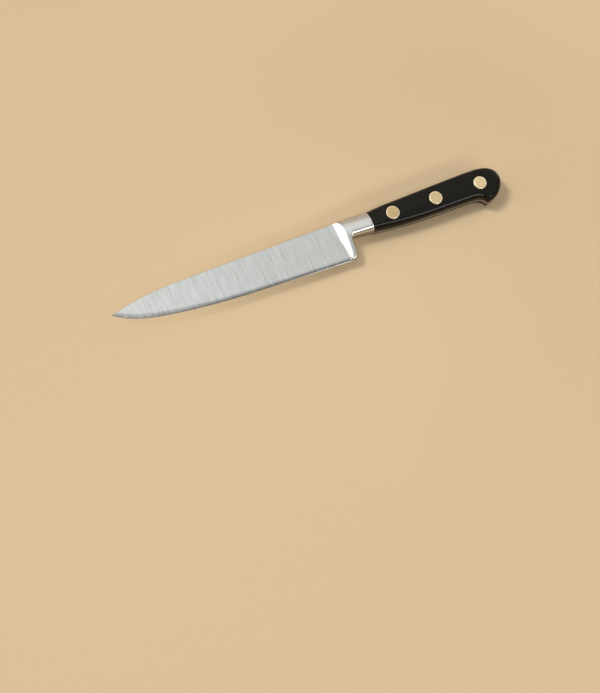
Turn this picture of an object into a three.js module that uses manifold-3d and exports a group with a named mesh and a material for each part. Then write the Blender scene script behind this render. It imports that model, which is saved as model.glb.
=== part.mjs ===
// Forged fillet knife, lying on its side: millimetres, +Z up.
// +X runs from the point to the butt, the cutting edge faces -Y and the spine faces +Y.
// Heights along Y are measured from the line of the rivets, and z = 0 is the blade's mid-plane while the
// pieces are made; the finished group is then stood on z = 0.
import * as THREE from 'three';
import { mergeVertices } from 'three/addons/utils/BufferGeometryUtils.js';
import Module from 'manifold-3d';

const wasm = await Module();
wasm.setup();

// Blade
const BLADE_LENGTH = 150; // point to heel
const HEEL_DEPTH = 19; // cutting edge at the heel, below the rivet line
const EDGE_LIFT = 3.3; // straight rise of the edge from heel to point
const BELLY_LIFT = 8.8; // curved rise of the edge towards the point
const BELLY_RUN = 95; // length of that curve
const TIP_RUN = 26; // length over which the edge turns up into the point
const SPINE_HEIGHT = 7.1; // spine at the heel, above the rivet line
const SPINE_FALL = 3.8; // straight fall of the spine from heel to point
const POINT_DROP = 5.5; // curved fall of the spine to the point
const POINT_RUN = 50; // length of that curve
const POINT_BLUNT = 0.25; // height left at the very point
const SPINE_THICKNESS = 2.4; // at the heel
const POINT_THICKNESS = 0.9; // spine thickness at the point
const BEVEL_HEIGHT = 1.7; // ground bevel along the edge
const BEVEL_THICKNESS = 0.8; // blade thickness where the bevel starts
const EDGE_THICKNESS = 0.3;
const CURVE_POWER = 2.5; // how late the curves of edge and spine set in

// Bolster: the ramp out of the blade, the finger guard down to the heel, and the neck
const BOLSTER_LENGTH = 19.3; // heel to the front of the scales
const RAMP_RUN = 3.9; // blade side to ridge, along the spine
const RIDGE_SETBACK = 1.4; // ridge of the guard behind the heel
const RIDGE_SWEEP = 2.4; // how far the ridge swings forward as it rounds over to the spine
const GUARD_SETBACK = 4.2; // back of the guard behind the heel
const GUARD_DRAFT = 0.2; // slope of the guard's back face
const GUARD_TOE_THICKNESS = 1.8; // guard at the heel's lower corner
const GUARD_FULL_DEPTH = 3; // depth below the rivet line where the guard reaches full thickness
const HEEL_CORNER_RADIUS = 3.6;
const NOTCH_RADIUS = 2.6; // fillet between guard and neck
const NECK_DEPTH = 5.4; // underside of the neck behind the notch

// Handle
const SCALE_LENGTH = 92.4;
const HANDLE_THICKNESS = 14;
const TANG_THICKNESS = 2.6;
const TANG_ROOT = 3; // tang carried into the neck
const FRONT_DEPTH = 6.5; // belly at the front of the scales
const BELLY_DEPTH = 8.4; // belly in front of the beak
const BELLY_SWELL = 1.3; // fuller by this in the front half of the grip, as the curve's handle
const BELLY_END = 23.2; // where the grip's belly ends, from the butt
const CROWN_HEIGHT = 10.5; // highest point of the butt
const CROWN_SETBACK = 16; // from the butt end
const BEAK_DEPTH = 12.9; // hook under the butt
const BEAK_SETBACK = 13.6; // from the butt end
const EDGE_ROUND_WIDTH = 3.2; // rounding of the scales, across the face
const EDGE_ROUND_DEPTH = 4.6; // and down the side

// Fullness of the handle's curves: how far each one follows its tangents, as a share of its run
const GRIP_FRONT_FULLNESS = 0.4; // top of the grip, from the bolster
const GRIP_REAR_FULLNESS = 0.18; // top of the grip, into the crown
const CROWN_FULLNESS = 0.68; // from the crown back along the top
const BUTT_TOP_FULLNESS = 0.69; // up the end of the butt
const BUTT_LOW_FULLNESS = 0.31; // down the end of the butt
const BEAK_REAR_RUN = 0.27; // lean of the outline into the beak from behind
const BEAK_REAR_DROP = 0.91;
const BEAK_FRONT_RUN = 0.2; // lean of the outline out of the beak in front
const BEAK_FRONT_DROP = 0.27;
const THROAT_FULLNESS = 0.63; // from the beak into the belly
const BELLY_REAR_FULLNESS = 0.4;
const BELLY_FRONT_FULLNESS = 0.3;

// Rivets: a sleeve with a head above, a pin with a head below
const RIVET_HEAD_DIAMETER = 8.6;
const RIVET_HEAD_THICKNESS = 1.8;
const SLEEVE_DIAMETER = 5;
const PIN_DIAMETER = 3.2;
const PIN_DEPTH = 8.6; // pin inside the sleeve
const FRONT_RIVET_SETBACK = 15; // from the front of the scales
const FRONT_PITCH = 30.3; // front to middle rivet
const REAR_PITCH = 32; // middle to rear rivet

// Fits
const SEAT_GAP = 0.04; // between faces that seat on each other
const RIVET_GAP = 0.05; // radial, round rivet heads, sleeves and pins

// Fineness of the faceted solids
const BLADE_STATIONS = 34;
const STATION_POWER = 1.5; // closes the stations up towards the point
const BOLSTER_STATIONS = 10;
const SECTION_STEPS = 12;
const ROUND_SEGMENTS = 40;
const CURVE_SEGMENTS = 10;
const EDGE_ROUND_SEGMENTS = 5;
const MERGE_DISTANCE = 1e-4; // corners closer than this are one

// Places along the knife
const heelX = BLADE_LENGTH;
const ridgeX = heelX + RIDGE_SETBACK;
const guardBackX = heelX + GUARD_SETBACK;
const neckX = guardBackX + GUARD_DRAFT;
const scaleFrontX = heelX + BOLSTER_LENGTH;
const buttX = scaleFrontX + SCALE_LENGTH;
const rivetPlaces = {
  front: scaleFrontX + FRONT_RIVET_SETBACK,
  middle: scaleFrontX + FRONT_RIVET_SETBACK + FRONT_PITCH,
  rear: scaleFrontX + FRONT_RIVET_SETBACK + FRONT_PITCH + REAR_PITCH,
};
const halfHandle = HANDLE_THICKNESS / 2;
const halfTang = TANG_THICKNESS / 2;
const pointY = SPINE_HEIGHT - SPINE_FALL - POINT_DROP;
const tipLift = pointY - POINT_BLUNT + HEEL_DEPTH - EDGE_LIFT - BELLY_LIFT;

const { lerp, clamp, inverseLerp, smoothstep } = THREE.MathUtils;

// A curve that is 1 at the point and dies out after run.
const lateCurve = (x, run) => Math.pow(Math.max(0, 1 - x / run), CURVE_POWER);

// Height of a circle above its centre, at a distance beside the centre, and 0 beyond the circle.
const arcHeight = (radius, beside) => Math.sqrt(Math.max(0, radius ** 2 - beside ** 2));

function spineY(x) {
  const straight = SPINE_FALL * Math.max(0, 1 - x / BLADE_LENGTH);
  return SPINE_HEIGHT - straight - POINT_DROP * lateCurve(x, POINT_RUN);
}

function edgeY(x) {
  const straight = EDGE_LIFT * (1 - x / BLADE_LENGTH);
  return -HEEL_DEPTH + straight + BELLY_LIFT * lateCurve(x, BELLY_RUN) + tipLift * lateCurve(x, TIP_RUN);
}

// Lower outline of the forging: edge, rounded heel corner, back of the guard, notch, neck.
function lowerY(x) {
  const cornerStart = guardBackX - HEEL_CORNER_RADIUS;
  if (x <= cornerStart) {
    return edgeY(Math.min(x, heelX));
  }
  if (x <= guardBackX) {
    const along = x - cornerStart;
    return -HEEL_DEPTH + HEEL_CORNER_RADIUS - arcHeight(HEEL_CORNER_RADIUS, along);
  }
  return neckY(x);
}

// Underside of the neck, with the notch's fillet at its front.
function neckY(x) {
  const straight = lerp(-NECK_DEPTH, -FRONT_DEPTH, inverseLerp(neckX, scaleFrontX, x));
  const left = Math.max(0, neckX + NOTCH_RADIUS - x);
  return straight - NOTCH_RADIUS + arcHeight(NOTCH_RADIUS, left);
}

// Half thickness of the flat-ground blade: a wedge from spine to bevel, then the bevel to the edge.
function bladeHalf(x, y) {
  const spineHalf = lerp(POINT_THICKNESS, SPINE_THICKNESS, clamp(x / BLADE_LENGTH, 0, 1)) / 2;
  const fromEdge = y - lowerY(x);
  const height = spineY(x) - lowerY(x);
  const bevel = Math.min(BEVEL_HEIGHT, height / 2);
  if (fromEdge < bevel) {
    return lerp(EDGE_THICKNESS, BEVEL_THICKNESS, fromEdge / bevel) / 2;
  }
  return lerp(BEVEL_THICKNESS / 2, spineHalf, (fromEdge - bevel) / (height - bevel));
}

// Half thickness of a bar with the scales' rounded edges, at a distance from the bar's side.
function roundedHalf(fromSide) {
  const inward = clamp(1 - fromSide / EDGE_ROUND_WIDTH, 0, 1);
  return halfHandle - EDGE_ROUND_DEPTH * (1 - Math.sqrt(1 - inward ** 2));
}

// Half thickness of the guard, which thins out towards the heel's lower corner.
function guardHalf(y) {
  const rise = inverseLerp(-HEEL_DEPTH, -GUARD_FULL_DEPTH, y);
  return lerp(GUARD_TOE_THICKNESS / 2, halfHandle, clamp(rise, 0, 1));
}

function bolsterHalf(x, y) {
  const fromTop = roundedHalf(spineY(x) - y);
  const fromBelow = x > guardBackX ? roundedHalf(y - lowerY(x)) : halfHandle;
  return Math.min(fromTop, fromBelow, guardHalf(y));
}

// Half thickness of the forging anywhere in front of the scales. The ramp is longer at the spine than
// at the edge, and swings forward with the ridge where the bolster rounds over to the spine.
function forgingHalf(x, y) {
  const upTheBlade = clamp(inverseLerp(-HEEL_DEPTH, SPINE_HEIGHT, y), 0, 1);
  const overTheSpine = clamp(inverseLerp(SPINE_HEIGHT - EDGE_ROUND_WIDTH, SPINE_HEIGHT, y), 0, 1);
  const rampEnd = ridgeX - RIDGE_SWEEP * overTheSpine ** 2;
  const ramp = smoothstep(x, rampEnd - lerp(RAMP_RUN / 2, RAMP_RUN, upTheBlade), rampEnd);
  return ramp === 0 ? bladeHalf(x, y) : lerp(bladeHalf(x, y), bolsterHalf(x, y), ramp);
}

// One closed ring across the forging, spine to edge on the upper side and back on the lower side.
// Its points are evenly spaced on the blade and close up to the rounded sides on the bolster.
function forgingRing(x) {
  const upper = [];
  for (let step = 0; step <= SECTION_STEPS; step += 1) {
    const even = step / SECTION_STEPS;
    const share = x < ridgeX ? even : (1 - Math.cos(Math.PI * even)) / 2;
    const y = lerp(spineY(x), lowerY(x), share);
    upper.push(new THREE.Vector3(x, y, forgingHalf(x, y)));
  }
  const lower = upper.map((point) => new THREE.Vector3(point.x, point.y, -point.z)).reverse();
  return [...upper, ...lower];
}

// Stations close up towards the point, where the outline turns fastest.
function forgingRings() {
  const rampX = ridgeX - RIDGE_SWEEP - RAMP_RUN;
  const rings = [];
  for (let step = 0; step <= BLADE_STATIONS; step += 1) {
    const x = rampX * (step / BLADE_STATIONS) ** STATION_POWER;
    rings.push(forgingRing(x));
  }
  for (let step = 1; step <= BOLSTER_STATIONS; step += 1) {
    const x = lerp(rampX, guardBackX, Math.sin((Math.PI / 2) * (step / BOLSTER_STATIONS)));
    rings.push(forgingRing(x));
  }
  for (let step = 0; step <= BOLSTER_STATIONS; step += 1) {
    const x = lerp(neckX, scaleFrontX, (step / BOLSTER_STATIONS) ** 2);
    rings.push(forgingRing(x));
  }
  return rings;
}

// Closed skin through rings of equally many points, with both ends fanned shut.
function loft(rings) {
  const size = rings[0].length;
  const positions = rings.flat().flatMap((point) => [point.x, point.y, point.z]);
  const triangles = [];
  for (let ring = 0; ring + 1 < rings.length; ring += 1) {
    for (let step = 0; step < size; step += 1) {
      const a = ring * size + step;
      const b = ring * size + ((step + 1) % size);
      triangles.push(a, b, a + size, b, b + size, a + size);
    }
  }
  const last = (rings.length - 1) * size;
  for (let step = 0; step + 1 < size / 2; step += 1) {
    const far = size - 1 - step;
    triangles.push(step, far, step + 1, far, far - 1, step + 1);
    triangles.push(last + step, last + step + 1, last + far, last + far, last + step + 1, last + far - 1);
  }
  const geometry = new THREE.BufferGeometry();
  geometry.setAttribute('position', new THREE.Float32BufferAttribute(positions, 3));
  geometry.setIndex(triangles);
  return geometry;
}

// Side outline of the handle, reaching forward of the scales' front face by lead: along the top of the
// grip, round the butt, and back along the underside.
function handleOutline(lead) {
  const shape = new THREE.Shape();
  shape.moveTo(scaleFrontX - lead, SPINE_HEIGHT);
  shape.lineTo(scaleFrontX, SPINE_HEIGHT);
  addTop(shape);
  addUnderside(shape);
  shape.lineTo(scaleFrontX - lead, -FRONT_DEPTH);
  shape.closePath();
  return shape;
}

function addTop(shape) {
  const crownX = buttX - CROWN_SETBACK;
  const grip = crownX - scaleFrontX;
  shape.bezierCurveTo(
    scaleFrontX + GRIP_FRONT_FULLNESS * grip, lerp(SPINE_HEIGHT, CROWN_HEIGHT, GRIP_FRONT_FULLNESS),
    crownX - GRIP_REAR_FULLNESS * grip, CROWN_HEIGHT,
    crownX, CROWN_HEIGHT,
  );
  shape.bezierCurveTo(
    crownX + CROWN_FULLNESS * CROWN_SETBACK, CROWN_HEIGHT,
    buttX, BUTT_TOP_FULLNESS * CROWN_HEIGHT,
    buttX, 0,
  );
}

function addUnderside(shape) {
  const beakX = buttX - BEAK_SETBACK;
  const bellyX = buttX - BELLY_END;
  const throat = beakX - bellyX;
  const belly = bellyX - scaleFrontX;
  shape.bezierCurveTo(
    buttX, -BUTT_LOW_FULLNESS * BEAK_DEPTH,
    buttX - BEAK_REAR_RUN * BEAK_SETBACK, -BEAK_REAR_DROP * BEAK_DEPTH,
    beakX, -BEAK_DEPTH,
  );
  shape.bezierCurveTo(
    beakX - BEAK_FRONT_RUN * throat, -lerp(BELLY_DEPTH, BEAK_DEPTH, BEAK_FRONT_DROP),
    bellyX + THROAT_FULLNESS * throat, -BELLY_DEPTH,
    bellyX, -BELLY_DEPTH,
  );
  shape.bezierCurveTo(
    bellyX - BELLY_REAR_FULLNESS * belly, -BELLY_DEPTH,
    scaleFrontX + BELLY_FRONT_FULLNESS * belly, -BELLY_DEPTH - BELLY_SWELL,
    scaleFrontX, -FRONT_DEPTH,
  );
}

// A geometry as a solid: shared corners merged, collapsed faces dropped, faces pointing out.
function solid(geometry) {
  const bare = geometry.clone();
  bare.deleteAttribute('normal');
  bare.deleteAttribute('uv');
  const merged = mergeVertices(bare, MERGE_DISTANCE);
  const corner = (index) => new THREE.Vector3().fromBufferAttribute(merged.attributes.position, index);
  const faces = [];
  let volume = 0;
  for (let start = 0; start < merged.index.count; start += 3) {
    const [a, b, c] = [0, 1, 2].map((step) => merged.index.getX(start + step));
    if (a !== b && b !== c && a !== c) {
      faces.push([a, b, c]);
      volume += corner(a).dot(corner(b).cross(corner(c)));
    }
  }
  const outward = volume > 0 ? faces : faces.map(([a, b, c]) => [a, c, b]);
  return new wasm.Manifold(new wasm.Mesh({
    numProp: 3,
    vertProperties: new Float32Array(merged.attributes.position.array),
    triVerts: new Uint32Array(outward.flat()),
  }));
}

function geometryOf(body) {
  const mesh = body.getMesh();
  const geometry = new THREE.BufferGeometry();
  geometry.setAttribute('position', new THREE.BufferAttribute(mesh.vertProperties, 3));
  geometry.setIndex(new THREE.BufferAttribute(mesh.triVerts, 1));
  geometry.computeVertexNormals();
  return geometry;
}

// Turned piece about a vertical axis at x, from [radius, height] corners that start and end on the axis.
function turned(corners, x) {
  const profile = corners.map(([radius, height]) => new THREE.Vector2(radius, height));
  const geometry = new THREE.LatheGeometry(profile, ROUND_SEGMENTS);
  geometry.rotateX(Math.PI / 2);
  geometry.translate(x, 0, 0);
  return solid(geometry);
}

function rod(radius, lowZ, highZ, x) {
  return turned([[0, lowZ], [radius, lowZ], [radius, highZ], [0, highZ]], x);
}

function block(lowX, highX, lowZ, highZ) {
  const reach = 2 * (HEEL_DEPTH + CROWN_HEIGHT + BEAK_DEPTH);
  const geometry = new THREE.BoxGeometry(highX - lowX, reach, highZ - lowZ);
  geometry.translate((lowX + highX) / 2, 0, (lowZ + highZ) / 2);
  return solid(geometry);
}

const headBase = halfHandle - RIVET_HEAD_THICKNESS;
const headRadius = RIVET_HEAD_DIAMETER / 2;
const sleeveRadius = SLEEVE_DIAMETER / 2;
const pinRadius = PIN_DIAMETER / 2;

// Straight hole for a sleeve, right through the handle.
const sleeveHole = (x) => rod(sleeveRadius + RIVET_GAP, -HANDLE_THICKNESS, HANDLE_THICKNESS, x);

// Counterbores for both heads of a rivet, joined by the sleeve's hole.
function rivetCut(x) {
  const radius = headRadius + RIVET_GAP;
  const floor = headBase - SEAT_GAP;
  const above = rod(radius, floor, HANDLE_THICKNESS, x);
  const below = rod(radius, -HANDLE_THICKNESS, -floor, x);
  return sleeveHole(x).add(above).add(below);
}

function forging() {
  const tangSide = new THREE.ExtrudeGeometry(handleOutline(TANG_ROOT), {
    depth: TANG_THICKNESS,
    bevelEnabled: false,
    curveSegments: CURVE_SEGMENTS,
  });
  tangSide.translate(0, 0, -halfTang);
  const whole = solid(loft(forgingRings())).add(solid(tangSide));
  return Object.values(rivetPlaces).reduce((body, x) => body.subtract(sleeveHole(x)), whole);
}

// The handle's full rounded body, which the tang and the bolster then cut into two scales.
function handleBody() {
  const geometry = new THREE.ExtrudeGeometry(handleOutline(2 * EDGE_ROUND_WIDTH), {
    depth: HANDLE_THICKNESS - 2 * EDGE_ROUND_DEPTH,
    bevelEnabled: true,
    bevelThickness: EDGE_ROUND_DEPTH,
    bevelSize: EDGE_ROUND_WIDTH,
    bevelOffset: -EDGE_ROUND_WIDTH,
    bevelSegments: EDGE_ROUND_SEGMENTS,
    curveSegments: CURVE_SEGMENTS,
  });
  geometry.translate(0, 0, EDGE_ROUND_DEPTH - halfHandle);
  return solid(geometry);
}

function scale(side) {
  const inner = halfTang + SEAT_GAP;
  const [lowZ, highZ] = side > 0 ? [inner, HANDLE_THICKNESS] : [-HANDLE_THICKNESS, -inner];
  const room = block(scaleFrontX + SEAT_GAP, buttX + HANDLE_THICKNESS, lowZ, highZ);
  const blank = handleBody().intersect(room);
  return Object.values(rivetPlaces).reduce((body, x) => body.subtract(rivetCut(x)), blank);
}

// Upper half of a rivet: head with a hollow sleeve that reaches down to the lower head.
function rivetSleeve(x) {
  const foot = SEAT_GAP - headBase;
  const bore = pinRadius + RIVET_GAP;
  const boreTop = PIN_DEPTH + SEAT_GAP - headBase;
  return turned([
    [0, halfHandle], [headRadius, halfHandle], [headRadius, headBase], [sleeveRadius, headBase],
    [sleeveRadius, foot], [bore, foot], [bore, boreTop], [0, boreTop],
  ], x);
}

// Lower half of a rivet: head with a solid pin.
function rivetPin(x) {
  return turned([
    [0, -halfHandle], [headRadius, -halfHandle], [headRadius, -headBase],
    [pinRadius, -headBase], [pinRadius, PIN_DEPTH - headBase], [0, PIN_DEPTH - headBase],
  ], x);
}

const steel = new THREE.MeshStandardMaterial({ color: 0xc6c9c8, roughness: 0.36, metalness: 1 });
const blackResin = new THREE.MeshStandardMaterial({ color: 0x1c1c1e, roughness: 0.42, metalness: 0 });
const brass = new THREE.MeshStandardMaterial({ color: 0xd0b777, roughness: 0.34, metalness: 1 });

const knife = new THREE.Group();

function addPiece(name, body, material) {
  const mesh = new THREE.Mesh(geometryOf(body), material);
  mesh.name = name;
  knife.add(mesh);
}

addPiece('blade_and_tang', forging(), steel);
addPiece('upper_scale', scale(1), blackResin);
addPiece('lower_scale', scale(-1), blackResin);
for (const [place, x] of Object.entries(rivetPlaces)) {
  addPiece(`${place}_rivet_sleeve`, rivetSleeve(x), brass);
  addPiece(`${place}_rivet_pin`, rivetPin(x), brass);
}

// The knife lies on its lower scale, centred over the origin.
const reach = new THREE.Box3().setFromObject(knife);
const middle = reach.getCenter(new THREE.Vector3());
knife.position.set(-middle.x, -middle.y, -reach.min.z);
knife.updateMatrixWorld(true);

export default knife;
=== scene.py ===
# %% [markdown]
# # A forged fillet knife
# The knife lies on its side on a pale table. Blade, finger guard, neck and tang are one forging; two
# black resin scales are riveted to the tang with three brass rivets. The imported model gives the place
# of every piece. This lesson rebuilds each visible surface as a numpy grid, gives it a finish made of
# nodes, and then sets up light and camera.

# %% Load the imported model
import math

import bmesh
import bpy
import numpy as np
from mathutils import Matrix, Vector


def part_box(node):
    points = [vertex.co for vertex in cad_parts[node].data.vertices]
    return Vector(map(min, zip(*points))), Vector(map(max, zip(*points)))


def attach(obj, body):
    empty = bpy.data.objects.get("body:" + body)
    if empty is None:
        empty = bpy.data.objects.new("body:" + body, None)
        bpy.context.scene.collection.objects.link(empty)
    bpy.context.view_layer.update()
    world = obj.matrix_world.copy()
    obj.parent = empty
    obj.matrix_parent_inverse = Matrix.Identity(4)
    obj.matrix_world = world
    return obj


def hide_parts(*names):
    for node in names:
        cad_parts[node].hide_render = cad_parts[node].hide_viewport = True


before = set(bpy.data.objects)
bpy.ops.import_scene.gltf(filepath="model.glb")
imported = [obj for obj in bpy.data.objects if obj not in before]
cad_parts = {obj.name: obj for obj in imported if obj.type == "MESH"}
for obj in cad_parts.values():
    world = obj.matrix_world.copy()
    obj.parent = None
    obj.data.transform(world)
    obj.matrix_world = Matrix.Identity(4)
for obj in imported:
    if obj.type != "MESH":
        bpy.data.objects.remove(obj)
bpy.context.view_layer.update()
print("nodes:", ", ".join(sorted(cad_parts)))

# %% [markdown]
# All shapes below are worked out in millimetres in the knife's own terms: x runs from the point to the
# butt, y is measured from the line of the rivets (edge negative, spine positive), and z from the
# blade's mid-plane. That frame could be typed in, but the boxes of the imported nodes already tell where
# it lies, so nothing is fitted by eye.

# %% The knife's own frame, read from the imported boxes
MM = 0.001
blade_low, blade_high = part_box("blade_and_tang")
scale_low, scale_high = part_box("upper_scale")
rivet_boxes = {place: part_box(f"{place}_rivet_sleeve") for place in ("front", "middle", "rear")}
head_low, head_high = rivet_boxes["front"]
rivet_y = (head_low.y + head_high.y) / 2
KNIFE_ORIGIN = np.array([blade_low.x, rivet_y, (blade_low.z + blade_high.z) / 2])

BUTT_X = (blade_high.x - blade_low.x) / MM
SCALE_FRONT_X = (scale_low.x - blade_low.x) / MM
HEEL_DEPTH = (rivet_y - blade_low.y) / MM
CROWN_HEIGHT = (scale_high.y - rivet_y) / MM
BEAK_DEPTH = (rivet_y - scale_low.y) / MM
HALF_HANDLE = (blade_high.z - blade_low.z) / 2 / MM
HALF_TANG = (scale_low.z - KNIFE_ORIGIN[2]) / MM
HEAD_RADIUS = (head_high.x - head_low.x) / 2 / MM
RIVET_X = {place: ((low.x + high.x) / 2 - blade_low.x) / MM
           for place, (low, high) in rivet_boxes.items()}
print(f"knife {BUTT_X:.1f} mm long, handle {2 * HALF_HANDLE:.1f} mm thick")

# %% [markdown]
# Every surface is a grid of points: rows along one parameter, columns along the other. Blender's own
# tools could loft and sweep as well, but a grid turns into faces by index arithmetic alone, so one
# helper serves all the pieces. A grid can close on itself across its columns, and its ends are shut
# with flat faces.

# %% From a grid of points to a mesh
WELD = 1e-7  # metres


def grid_faces(rows, columns, closed):
    """Quads of a rows by columns grid; closed joins the last column to the first."""
    row = np.arange(rows - 1)[:, None]
    column = np.arange(columns if closed else columns - 1)[None, :]
    after = (column + 1) % columns
    corners = (row * columns + column, row * columns + after,
               (row + 1) * columns + after, (row + 1) * columns + column)
    return np.stack(corners, axis=-1).reshape(-1, 4)


def end_caps(rows, columns):
    """One face over the first row of a grid and one over its last row."""
    return [np.arange(columns), (rows - 1) * columns + np.arange(columns)]


def weld_and_face_out(mesh):
    """Merge points that lie on each other and turn every face outward."""
    work = bmesh.new()
    work.from_mesh(mesh)
    bmesh.ops.remove_doubles(work, verts=work.verts, dist=WELD)
    bmesh.ops.recalc_face_normals(work, faces=work.faces)
    work.to_mesh(mesh)
    work.free()


def grid_piece(name, grid, closed, caps):
    """A mesh object at the origin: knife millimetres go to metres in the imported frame."""
    rows, columns = grid.shape[:2]
    vertices = grid.reshape(-1, 3) * MM + KNIFE_ORIGIN
    faces = grid_faces(rows, columns, closed).tolist()
    faces += [cap.tolist() for cap in caps(rows, columns)]
    mesh = bpy.data.meshes.new(name)
    mesh.from_pydata(vertices.tolist(), [], faces)
    mesh.validate()
    weld_and_face_out(mesh)
    piece = bpy.data.objects.new(name, mesh)
    bpy.context.scene.collection.objects.link(piece)
    return piece


def smooth_by_angle(piece, degrees):
    """Shade smooth, keeping every edge sharper than the angle crisp."""
    piece.data.polygons.foreach_set("use_smooth", np.ones(len(piece.data.polygons), bool))
    piece.data.set_sharp_from_angle(angle=math.radians(degrees))


# %% [markdown]
# From the side, a fillet blade has a slim belly and a spine that drops to the point. Both lines could
# be traced point by point. Here each is a straight slope plus a power of the distance from the point
# that dies out along the blade, so a few sizes say it all and the curve stays smooth.

# %% Side outline of the blade
BLADE_LENGTH = 150.0  # point to heel
EDGE_LIFT = 3.3  # straight rise of the edge from heel to point
BELLY_LIFT, BELLY_RUN = 8.8, 95.0  # late rise of the belly
TIP_RUN = 26.0  # late rise of the tip, as high as the point asks for
SPINE_HEIGHT = 7.1  # at the heel
SPINE_FALL = 3.8  # straight fall of the spine from heel to point
POINT_DROP, POINT_RUN = 5.5, 50.0  # late drop of the spine
POINT_BLUNT = 0.25  # height left at the very point
CURVE_POWER = 2.5
POINT_Y = SPINE_HEIGHT - SPINE_FALL - POINT_DROP
TIP_LIFT = POINT_Y - POINT_BLUNT + HEEL_DEPTH - EDGE_LIFT - BELLY_LIFT


def late_curve(x, run):
    """One at the point, falling to zero at run as a power of the distance left."""
    return np.clip(1 - x / run, 0, None) ** CURVE_POWER


def spine_y(x):
    """Spine: straight fall towards the point plus the late drop."""
    fall = SPINE_FALL * np.clip(1 - x / BLADE_LENGTH, 0, None)
    return SPINE_HEIGHT - fall - POINT_DROP * late_curve(x, POINT_RUN)


def edge_y(x):
    """Cutting edge: straight lift towards the point plus the belly's and the tip's late lifts."""
    straight = EDGE_LIFT * (1 - np.minimum(x, BLADE_LENGTH) / BLADE_LENGTH)
    belly, tip = BELLY_LIFT * late_curve(x, BELLY_RUN), TIP_LIFT * late_curve(x, TIP_RUN)
    return -HEEL_DEPTH + straight + belly + tip


print(f"blade {spine_y(BLADE_LENGTH) - edge_y(BLADE_LENGTH):.1f} mm high at the heel")

# %% [markdown]
# The handle's outline is five Bezier curves: the top of the grip, the round butt, the rear and the
# front of the beak, and the belly. Tang and scales share them, so they stay flush all round.


# %% Outline of the handle
def lerp(a, b, share):
    """The value at a share of the way from a to b."""
    return a + (b - a) * share


def bezier(corners, count):
    """Cubic Bezier through four corners, sampled at count points."""
    t = np.linspace(0, 1, count)[:, None]
    a, b, c, d = np.asarray(corners, float)
    return a * (1 - t) ** 3 + 3 * b * t * (1 - t) ** 2 + 3 * c * t ** 2 * (1 - t) + d * t ** 3


SEAT_GAP = 0.04  # hair gap between pieces that seat on each other
NECK_END_X = SCALE_FRONT_X - SEAT_GAP
FRONT_DEPTH = 6.5  # underside where the scales begin
BELLY_DEPTH, BELLY_SWELL = 8.4, 1.3  # in front of the beak, and fuller by this in the front half
BELLY_END, CROWN_SETBACK, BEAK_SETBACK = 23.2, 16.0, 13.6  # all from the butt
CURVE_POINTS = 400

# Where the inner corners of each curve stand, as shares of its run and of its drop
GRIP_FRONT, GRIP_REAR = 0.4, 0.18
CROWN_RUN, BUTT_TOP, BUTT_LOW = 0.68, 0.69, 0.31
BEAK_REAR_RUN, BEAK_REAR_DROP = 0.27, 0.91
BEAK_FRONT_RUN, BEAK_FRONT_DROP = 0.2, 0.27
THROAT_RUN, BELLY_REAR, BELLY_FRONT = 0.63, 0.4, 0.3


def handle_curves():
    """Top of the grip, crown to butt, butt to beak, beak to belly, belly to front, as five curves."""
    crown_x, beak_x, belly_x = BUTT_X - CROWN_SETBACK, BUTT_X - BEAK_SETBACK, BUTT_X - BELLY_END
    grip, throat, belly = crown_x - NECK_END_X, beak_x - belly_x, belly_x - NECK_END_X
    front_y = lerp(SPINE_HEIGHT, CROWN_HEIGHT, GRIP_FRONT)
    beak_y = -lerp(BELLY_DEPTH, BEAK_DEPTH, BEAK_FRONT_DROP)
    corners = [
        [(NECK_END_X, SPINE_HEIGHT), (NECK_END_X + GRIP_FRONT * grip, front_y),
         (crown_x - GRIP_REAR * grip, CROWN_HEIGHT), (crown_x, CROWN_HEIGHT)],
        [(crown_x, CROWN_HEIGHT), (crown_x + CROWN_RUN * CROWN_SETBACK, CROWN_HEIGHT),
         (BUTT_X, BUTT_TOP * CROWN_HEIGHT), (BUTT_X, 0)],
        [(BUTT_X, 0), (BUTT_X, -BUTT_LOW * BEAK_DEPTH),
         (BUTT_X - BEAK_REAR_RUN * BEAK_SETBACK, -BEAK_REAR_DROP * BEAK_DEPTH), (beak_x, -BEAK_DEPTH)],
        [(beak_x, -BEAK_DEPTH), (beak_x - BEAK_FRONT_RUN * throat, beak_y),
         (belly_x + THROAT_RUN * throat, -BELLY_DEPTH), (belly_x, -BELLY_DEPTH)],
        [(belly_x, -BELLY_DEPTH), (belly_x - BELLY_REAR * belly, -BELLY_DEPTH),
         (NECK_END_X + BELLY_FRONT * belly, -BELLY_DEPTH - BELLY_SWELL), (NECK_END_X, -FRONT_DEPTH)],
    ]
    return [bezier(curve, CURVE_POINTS) for curve in corners]


top_curve, butt_curve, rear_curve, throat_curve, belly_curve = handle_curves()
print(f"handle {CROWN_HEIGHT + BEAK_DEPTH:.1f} mm high from crown to beak")

# %% [markdown]
# Behind the heel the lower outline turns up the back of the finger guard and through a fillet into the
# neck. It is drawn as a toolmaker would: line, arc, wall, arc, line. The neck's last points crowd
# together, because its edge is broken where it meets the scales.


# %% Outline of guard and neck
def arc(centre, radius, start, end, count):
    """Points on a circle from the start to the end angle, in degrees."""
    angle = np.radians(np.linspace(start, end, count))
    return np.stack([centre[0] + radius * np.cos(angle), centre[1] + radius * np.sin(angle)], axis=-1)


def line(start, end, count):
    """Evenly spaced points from start to end."""
    return lerp(np.asarray(start, float), np.asarray(end, float), np.linspace(0, 1, count)[:, None])


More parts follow.
